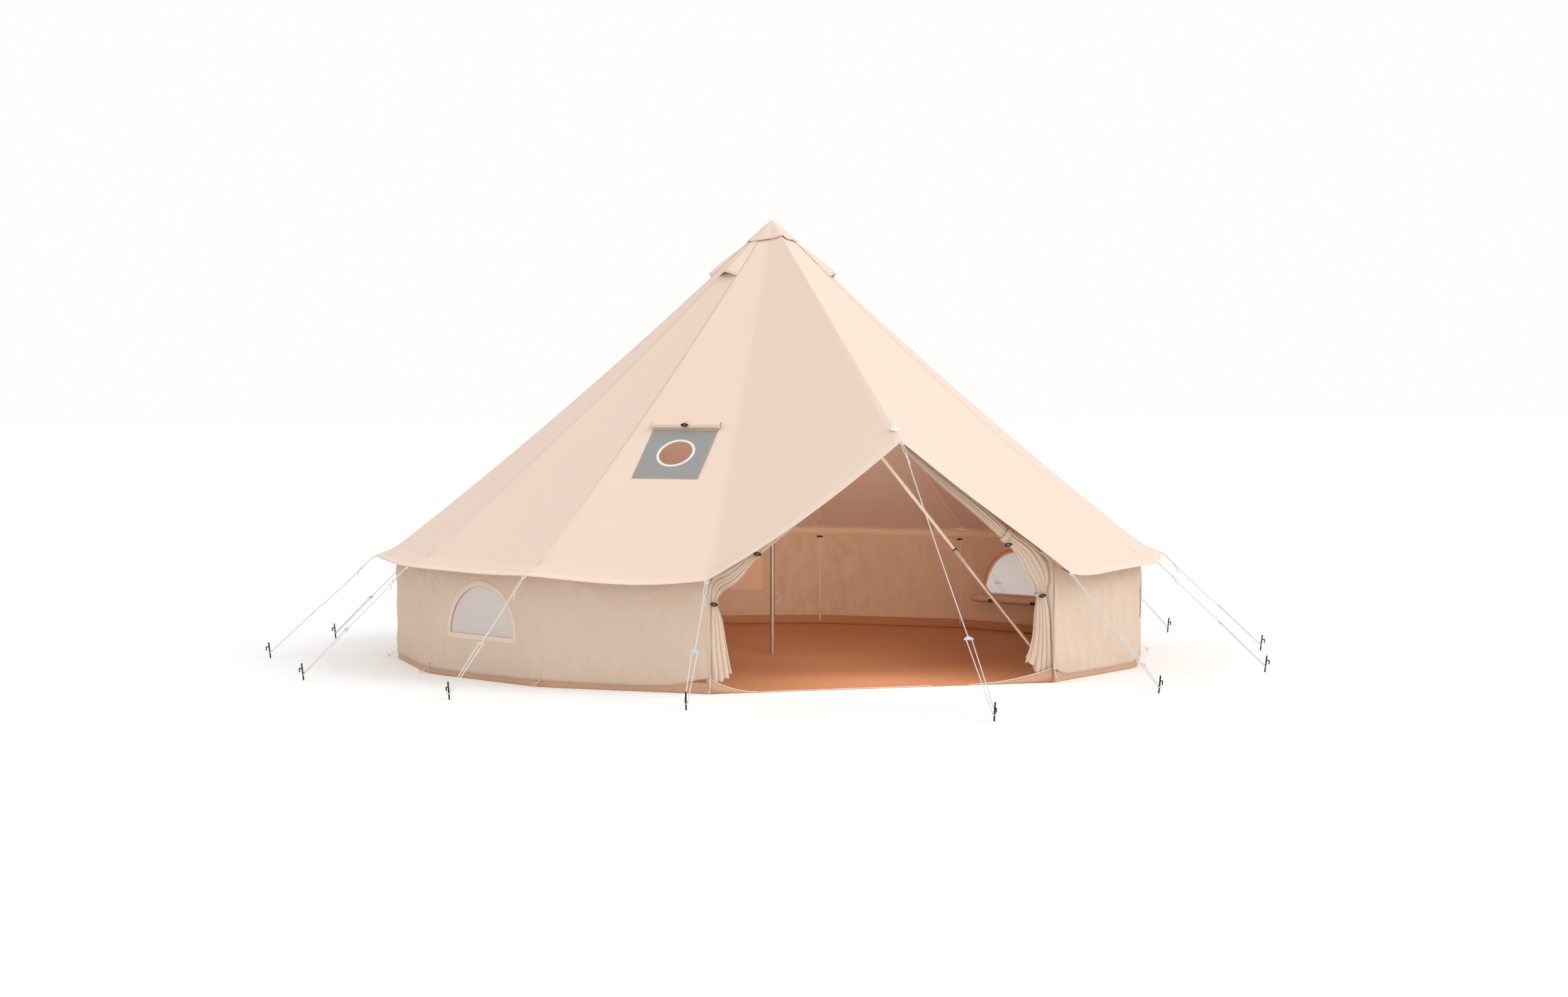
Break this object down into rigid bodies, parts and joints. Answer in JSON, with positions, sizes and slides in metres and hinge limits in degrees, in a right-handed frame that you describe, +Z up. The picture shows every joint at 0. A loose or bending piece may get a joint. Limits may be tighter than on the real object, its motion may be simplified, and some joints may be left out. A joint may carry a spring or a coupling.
{
  "type": "bell tent",
  "caption": "Canvas bell tent with a pyramid roof on a centre pole, low upright wall, half-round mesh windows, open door canopy, stove jack, sewn-in groundsheet and pegged guy ropes.",
  "frame": {"origin": "middle of the floor at ground level, under the centre pole", "axes": "+Z up; the door faces -Y; +X to the right of someone who looks in at the door"},
  "size_m": [6.7036, 7.5796, 2.9763],
  "materials": {
    "roof_canvas": "matte woven",
    "wall_canvas": "matte woven",
    "curtain": "matte woven",
    "trim": "matte woven",
    "mesh": "open net",
    "webbing": "matte woven",
    "groundsheet": "satin coated cloth",
    "steel": "galvanised",
    "rope": "braided",
    "slider": "satin",
    "peg": "satin black",
    "stove_patch": "matte",
    "white_plastic": "satin"
  },
  "bodies": {
    "root": {"groundsheet": "groundsheet", "upstand": "groundsheet", "wall_1": "wall_canvas", "wall_2": "wall_canvas", "wall_3": "wall_canvas", "wall_4": "wall_canvas", "wall_5": "wall_canvas", "wall_6": "wall_canvas", "wall_7": "wall_canvas", "wall_8": "wall_canvas", "wall_9": "wall_canvas", "wall_10": "wall_canvas", "wall_11": "wall_canvas", "wall_12": "wall_canvas", "roof_1": "roof_canvas", "roof_2": "roof_canvas", "roof_3": "roof_canvas", "roof_4": "roof_canvas", "roof_5": "roof_canvas", "roof_6": "roof_canvas", "roof_7": "roof_canvas", "roof_8": "roof_canvas", "roof_9": "roof_canvas", "roof_10": "roof_canvas", "roof_11": "roof_canvas", "roof_12": "roof_canvas", "canopy_left": "roof_canvas", "canopy_right": "roof_canvas", "peak_cap": "roof_canvas", "vent_hoods": "roof_canvas", "centre_pole": "steel", "brace_collar": "steel", "brace_left": "steel", "brace_right": "steel", "curtain_left": "curtain", "curtain_right": "curtain", "window_trims": "trim", "window_meshes": "mesh", "window_covers": "wall_canvas", "stove_jack": "stove_patch", "stove_roll": "roof_canvas", "ridge_pin": "white_plastic", "guy_ropes": "rope", "rope_sliders": "slider", "guy_pegs": "peg", "corner_pegs": "peg", "peg_loops": "webbing"}
  },
  "joints": []
}
